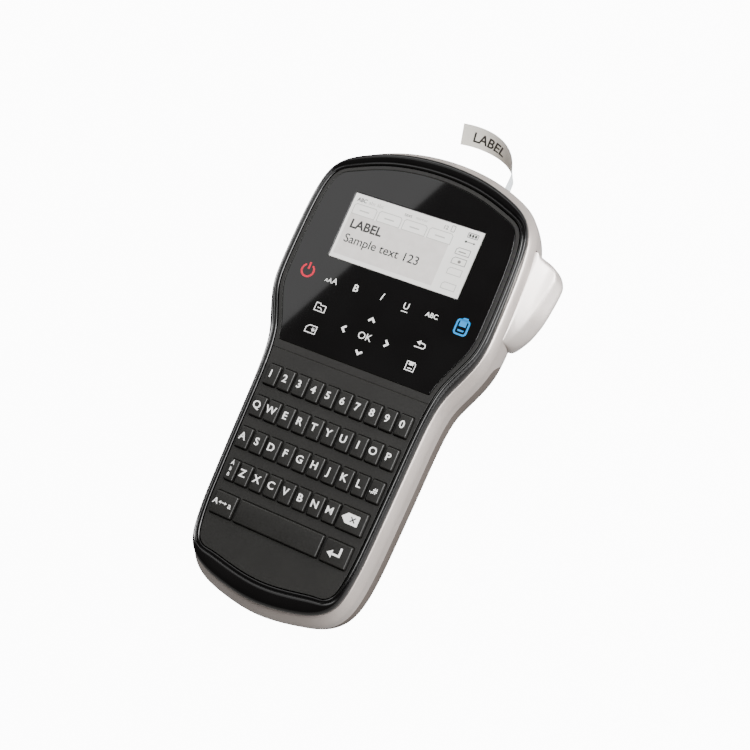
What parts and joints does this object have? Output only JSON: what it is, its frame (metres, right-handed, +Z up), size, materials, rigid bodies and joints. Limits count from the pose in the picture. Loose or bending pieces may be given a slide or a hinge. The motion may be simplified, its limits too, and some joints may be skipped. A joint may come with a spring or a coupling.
{
  "type": "handheld label maker",
  "caption": "Handheld electronic label maker with a keyboard, a display window, a side cutter lever and a printed label coming out of its top.",
  "frame": {"origin": "the point on the rear's flat at the keyboard end that the label maker rests on, in the middle of its width", "axes": "+X to the right as the keys are read, +Y along the length to the label slot, +Z up from the table. The face leans 8.55 degrees towards the reader."},
  "size_m": [0.1129, 0.2204, 0.0593],
  "materials": {
    "rim_gloss_black": "moulded ABS, high gloss",
    "plate_charcoal": "moulded ABS, fine matt grain",
    "panel_gloss_black": "clear hard-coated film over black print, high gloss",
    "display_glass": "reflective liquid crystal display behind clear glass",
    "silver_paint": "fine metallic silver paint on ABS, satin",
    "rear_warm_grey": "moulded ABS, fine matt grain",
    "cassette_door_warm_grey": "moulded ABS, fine matt grain",
    "battery_door_warm_grey": "moulded ABS, fine matt grain",
    "lever_silver_paint": "fine metallic silver paint on ABS, satin",
    "key_charcoal": "silicone rubber keys with a matt hard coat, legends printed white",
    "blade_steel": "ground edge",
    "label_film": "satin polyester film with paper backing",
    "platen_rubber": "ground silicone rubber",
    "pinion_acetal": "natural acetal",
    "motor_steel": "drawn can",
    "print_head_ceramic": "glazed alumina on an aluminium heat sink",
    "cassette_black": "moulded polystyrene",
    "board_laminate": "solder mask over glass-epoxy laminate",
    "battery_wrap": "shrink sleeve"
  },
  "bodies": {
    "housing": {"front_case": "rim_gloss_black", "side_frame": "silver_paint", "rear_cover": "rear_warm_grey", "keypad_plate": "plate_charcoal", "control_panel": "panel_gloss_black", "display_module": "display_glass", "main_board": "board_laminate", "battery_pack": "battery_wrap", "label_cassette": "cassette_black", "print_head": "print_head_ceramic", "drive_motor": "motor_steel"},
    "label": {"label_tape": "label_film"},
    "platen": {"platen_roller": "platen_rubber"},
    "pinion": {"motor_pinion": "pinion_acetal"},
    "lever": {"cutter_lever": "lever_silver_paint"},
    "blade": {"cutter_blade": "blade_steel"},
    "cassette_door": {"cassette_door": "cassette_door_warm_grey"},
    "battery_door": {"battery_door": "battery_door_warm_grey"},
    "key_1": {"key_1": "key_charcoal"},
    "key_2": {"key_2": "key_charcoal"},
    "key_3": {"key_3": "key_charcoal"},
    "key_4": {"key_4": "key_charcoal"},
    "key_5": {"key_5": "key_charcoal"},
    "key_6": {"key_6": "key_charcoal"},
    "key_7": {"key_7": "key_charcoal"},
    "key_8": {"key_8": "key_charcoal"},
    "key_9": {"key_9": "key_charcoal"},
    "key_0": {"key_0": "key_charcoal"},
    "key_q": {"key_q": "key_charcoal"},
    "key_w": {"key_w": "key_charcoal"},
    "key_e": {"key_e": "key_charcoal"},
    "key_r": {"key_r": "key_charcoal"},
    "key_t": {"key_t": "key_charcoal"},
    "key_y": {"key_y": "key_charcoal"},
    "key_u": {"key_u": "key_charcoal"},
    "key_i": {"key_i": "key_charcoal"},
    "key_o": {"key_o": "key_charcoal"},
    "key_p": {"key_p": "key_charcoal"},
    "key_a": {"key_a": "key_charcoal"},
    "key_s": {"key_s": "key_charcoal"},
    "key_d": {"key_d": "key_charcoal"},
    "key_f": {"key_f": "key_charcoal"},
    "key_g": {"key_g": "key_charcoal"},
    "key_h": {"key_h": "key_charcoal"},
    "key_j": {"key_j": "key_charcoal"},
    "key_k": {"key_k": "key_charcoal"},
    "key_l": {"key_l": "key_charcoal"},
    "key_symbols": {"key_symbols": "key_charcoal"},
    "key_z": {"key_z": "key_charcoal"},
    "key_x": {"key_x": "key_charcoal"},
    "key_c": {"key_c": "key_charcoal"},
    "key_v": {"key_v": "key_charcoal"},
    "key_b": {"key_b": "key_charcoal"},
    "key_n": {"key_n": "key_charcoal"},
    "key_m": {"key_m": "key_charcoal"},
    "key_accent": {"key_accent": "key_charcoal"},
    "key_backspace": {"key_backspace": "key_charcoal"},
    "key_caps": {"key_caps": "key_charcoal"},
    "key_space": {"key_space": "key_charcoal"},
    "key_enter": {"key_enter": "key_charcoal"}
  },
  "joints": [
    {"name": "battery_door_hinge", "type": "hinge", "parent": "housing", "child": "battery_door", "pos_m": [0, 0.0181, 0.0007], "axis": [-1, 0, 0], "range_deg": [0, 100]},
    {"name": "cassette_door_hinge", "type": "hinge", "parent": "housing", "child": "cassette_door", "pos_m": [0, 0.13672, 0.0003], "axis": [-1, 0, 0], "range_deg": [0, 100]},
    {"name": "cutter_blade_slide", "type": "slide", "parent": "housing", "child": "blade", "axis": [-1, 0, 0], "range_m": [0, 0.0031]},
    {"name": "cutter_lever_press", "type": "hinge", "parent": "housing", "child": "lever", "pos_m": [0.0456, 0.12335, 0.04989], "axis": [0, -0.1487, 0.9889], "range_deg": [0, 12], "stiffness_Nm_per_rad": 0.6, "springref_deg": -5.73},
    {"name": "feed_label_slide", "type": "slide", "parent": "housing", "child": "label", "axis": [0, 0.9889, 0.1487], "range_m": [0, 0.012]},
    {"name": "gear_pinion_spin", "type": "hinge", "parent": "housing", "child": "pinion", "pos_m": [0.02875, 0.15361, 0.05444], "axis": [0, -0.1487, 0.9889], "range_deg": [0, 348]},
    {"name": "gear_platen_spin", "type": "hinge", "parent": "housing", "child": "platen", "pos_m": [0.02875, 0.16251, 0.05578], "axis": [0, -0.1487, 0.9889], "range_deg": [-174, 0]},
    {"name": "key_0_press", "type": "slide", "parent": "housing", "child": "key_0", "axis": [0, 0.1487, -0.9889], "range_m": [0, 0.001], "stiffness_N_per_m": 300},
    {"name": "key_1_press", "type": "slide", "parent": "housing", "child": "key_1", "axis": [0, 0.1487, -0.9889], "range_m": [0, 0.001], "stiffness_N_per_m": 300},
    {"name": "key_2_press", "type": "slide", "parent": "housing", "child": "key_2", "axis": [0, 0.1487, -0.9889], "range_m": [0, 0.001], "stiffness_N_per_m": 300},
    {"name": "key_3_press", "type": "slide", "parent": "housing", "child": "key_3", "axis": [0, 0.1487, -0.9889], "range_m": [0, 0.001], "stiffness_N_per_m": 300},
    {"name": "key_4_press", "type": "slide", "parent": "housing", "child": "key_4", "axis": [0, 0.1487, -0.9889], "range_m": [0, 0.001], "stiffness_N_per_m": 300},
    {"name": "key_5_press", "type": "slide", "parent": "housing", "child": "key_5", "axis": [0, 0.1487, -0.9889], "range_m": [0, 0.001], "stiffness_N_per_m": 300},
    {"name": "key_6_press", "type": "slide", "parent": "housing", "child": "key_6", "axis": [0, 0.1487, -0.9889], "range_m": [0, 0.001], "stiffness_N_per_m": 300},
    {"name": "key_7_press", "type": "slide", "parent": "housing", "child": "key_7", "axis": [0, 0.1487, -0.9889], "range_m": [0, 0.001], "stiffness_N_per_m": 300},
    {"name": "key_8_press", "type": "slide", "parent": "housing", "child": "key_8", "axis": [0, 0.1487, -0.9889], "range_m": [0, 0.001], "stiffness_N_per_m": 300},
    {"name": "key_9_press", "type": "slide", "parent": "housing", "child": "key_9", "axis": [0, 0.1487, -0.9889], "range_m": [0, 0.001], "stiffness_N_per_m": 300},
    {"name": "key_a_press", "type": "slide", "parent": "housing", "child": "key_a", "axis": [0, 0.1487, -0.9889], "range_m": [0, 0.001], "stiffness_N_per_m": 300},
    {"name": "key_accent_press", "type": "slide", "parent": "housing", "child": "key_accent", "axis": [0, 0.1487, -0.9889], "range_m": [0, 0.001], "stiffness_N_per_m": 300},
    {"name": "key_b_press", "type": "slide", "parent": "housing", "child": "key_b", "axis": [0, 0.1487, -0.9889], "range_m": [0, 0.001], "stiffness_N_per_m": 300},
    {"name": "key_backspace_press", "type": "slide", "parent": "housing", "child": "key_backspace", "axis": [0, 0.1487, -0.9889], "range_m": [0, 0.001], "stiffness_N_per_m": 300},
    {"name": "key_c_press", "type": "slide", "parent": "housing", "child": "key_c", "axis": [0, 0.1487, -0.9889], "range_m": [0, 0.001], "stiffness_N_per_m": 300},
    {"name": "key_caps_press", "type": "slide", "parent": "housing", "child": "key_caps", "axis": [0, 0.1487, -0.9889], "range_m": [0, 0.001], "stiffness_N_per_m": 300},
    {"name": "key_d_press", "type": "slide", "parent": "housing", "child": "key_d", "axis": [0, 0.1487, -0.9889], "range_m": [0, 0.001], "stiffness_N_per_m": 300},
    {"name": "key_e_press", "type": "slide", "parent": "housing", "child": "key_e", "axis": [0, 0.1487, -0.9889], "range_m": [0, 0.001], "stiffness_N_per_m": 300},
    {"name": "key_enter_press", "type": "slide", "parent": "housing", "child": "key_enter", "axis": [0, 0.1487, -0.9889], "range_m": [0, 0.001], "stiffness_N_per_m": 300},
    {"name": "key_f_press", "type": "slide", "parent": "housing", "child": "key_f", "axis": [0, 0.1487, -0.9889], "range_m": [0, 0.001], "stiffness_N_per_m": 300},
    {"name": "key_g_press", "type": "slide", "parent": "housing", "child": "key_g", "axis": [0, 0.1487, -0.9889], "range_m": [0, 0.001], "stiffness_N_per_m": 300},
    {"name": "key_h_press", "type": "slide", "parent": "housing", "child": "key_h", "axis": [0, 0.1487, -0.9889], "range_m": [0, 0.001], "stiffness_N_per_m": 300},
    {"name": "key_i_press", "type": "slide", "parent": "housing", "child": "key_i", "axis": [0, 0.1487, -0.9889], "range_m": [0, 0.001], "stiffness_N_per_m": 300},
    {"name": "key_j_press", "type": "slide", "parent": "housing", "child": "key_j", "axis": [0, 0.1487, -0.9889], "range_m": [0, 0.001], "stiffness_N_per_m": 300},
    {"name": "key_k_press", "type": "slide", "parent": "housing", "child": "key_k", "axis": [0, 0.1487, -0.9889], "range_m": [0, 0.001], "stiffness_N_per_m": 300},
    {"name": "key_l_press", "type": "slide", "parent": "housing", "child": "key_l", "axis": [0, 0.1487, -0.9889], "range_m": [0, 0.001], "stiffness_N_per_m": 300},
    {"name": "key_m_press", "type": "slide", "parent": "housing", "child": "key_m", "axis": [0, 0.1487, -0.9889], "range_m": [0, 0.001], "stiffness_N_per_m": 300},
    {"name": "key_n_press", "type": "slide", "parent": "housing", "child": "key_n", "axis": [0, 0.1487, -0.9889], "range_m": [0, 0.001], "stiffness_N_per_m": 300},
    {"name": "key_o_press", "type": "slide", "parent": "housing", "child": "key_o", "axis": [0, 0.1487, -0.9889], "range_m": [0, 0.001], "stiffness_N_per_m": 300},
    {"name": "key_p_press", "type": "slide", "parent": "housing", "child": "key_p", "axis": [0, 0.1487, -0.9889], "range_m": [0, 0.001], "stiffness_N_per_m": 300},
    {"name": "key_q_press", "type": "slide", "parent": "housing", "child": "key_q", "axis": [0, 0.1487, -0.9889], "range_m": [0, 0.001], "stiffness_N_per_m": 300},
    {"name": "key_r_press", "type": "slide", "parent": "housing", "child": "key_r", "axis": [0, 0.1487, -0.9889], "range_m": [0, 0.001], "stiffness_N_per_m": 300},
    {"name": "key_s_press", "type": "slide", "parent": "housing", "child": "key_s", "axis": [0, 0.1487, -0.9889], "range_m": [0, 0.001], "stiffness_N_per_m": 300},
    {"name": "key_space_press", "type": "slide", "parent": "housing", "child": "key_space", "axis": [0, 0.1487, -0.9889], "range_m": [0, 0.001], "stiffness_N_per_m": 300},
    {"name": "key_symbols_press", "type": "slide", "parent": "housing", "child": "key_symbols", "axis": [0, 0.1487, -0.9889], "range_m": [0, 0.001], "stiffness_N_per_m": 300},
    {"name": "key_t_press", "type": "slide", "parent": "housing", "child": "key_t", "axis": [0, 0.1487, -0.9889], "range_m": [0, 0.001], "stiffness_N_per_m": 300},
    {"name": "key_u_press", "type": "slide", "parent": "housing", "child": "key_u", "axis": [0, 0.1487, -0.9889], "range_m": [0, 0.001], "stiffness_N_per_m": 300},
    {"name": "key_v_press", "type": "slide", "parent": "housing", "child": "key_v", "axis": [0, 0.1487, -0.9889], "range_m": [0, 0.001], "stiffness_N_per_m": 300},
    {"name": "key_w_press", "type": "slide", "parent": "housing", "child": "key_w", "axis": [0, 0.1487, -0.9889], "range_m": [0, 0.001], "stiffness_N_per_m": 300},
    {"name": "key_x_press", "type": "slide", "parent": "housing", "child": "key_x", "axis": [0, 0.1487, -0.9889], "range_m": [0, 0.001], "stiffness_N_per_m": 300},
    {"name": "key_y_press", "type": "slide", "parent": "housing", "child": "key_y", "axis": [0, 0.1487, -0.9889], "range_m": [0, 0.001], "stiffness_N_per_m": 300},
    {"name": "key_z_press", "type": "slide", "parent": "housing", "child": "key_z", "axis": [0, 0.1487, -0.9889], "range_m": [0, 0.001], "stiffness_N_per_m": 300}
  ],
  "couplings": [
    {"joint": "gear_platen_spin", "follows": "feed_label_slide", "rad_per_m": -250},
    {"joint": "gear_pinion_spin", "follows": "feed_label_slide", "rad_per_m": 500},
    {"joint": "cutter_blade_slide", "follows": "cutter_lever_press", "m_per_rad": 0.014324}
  ]
}
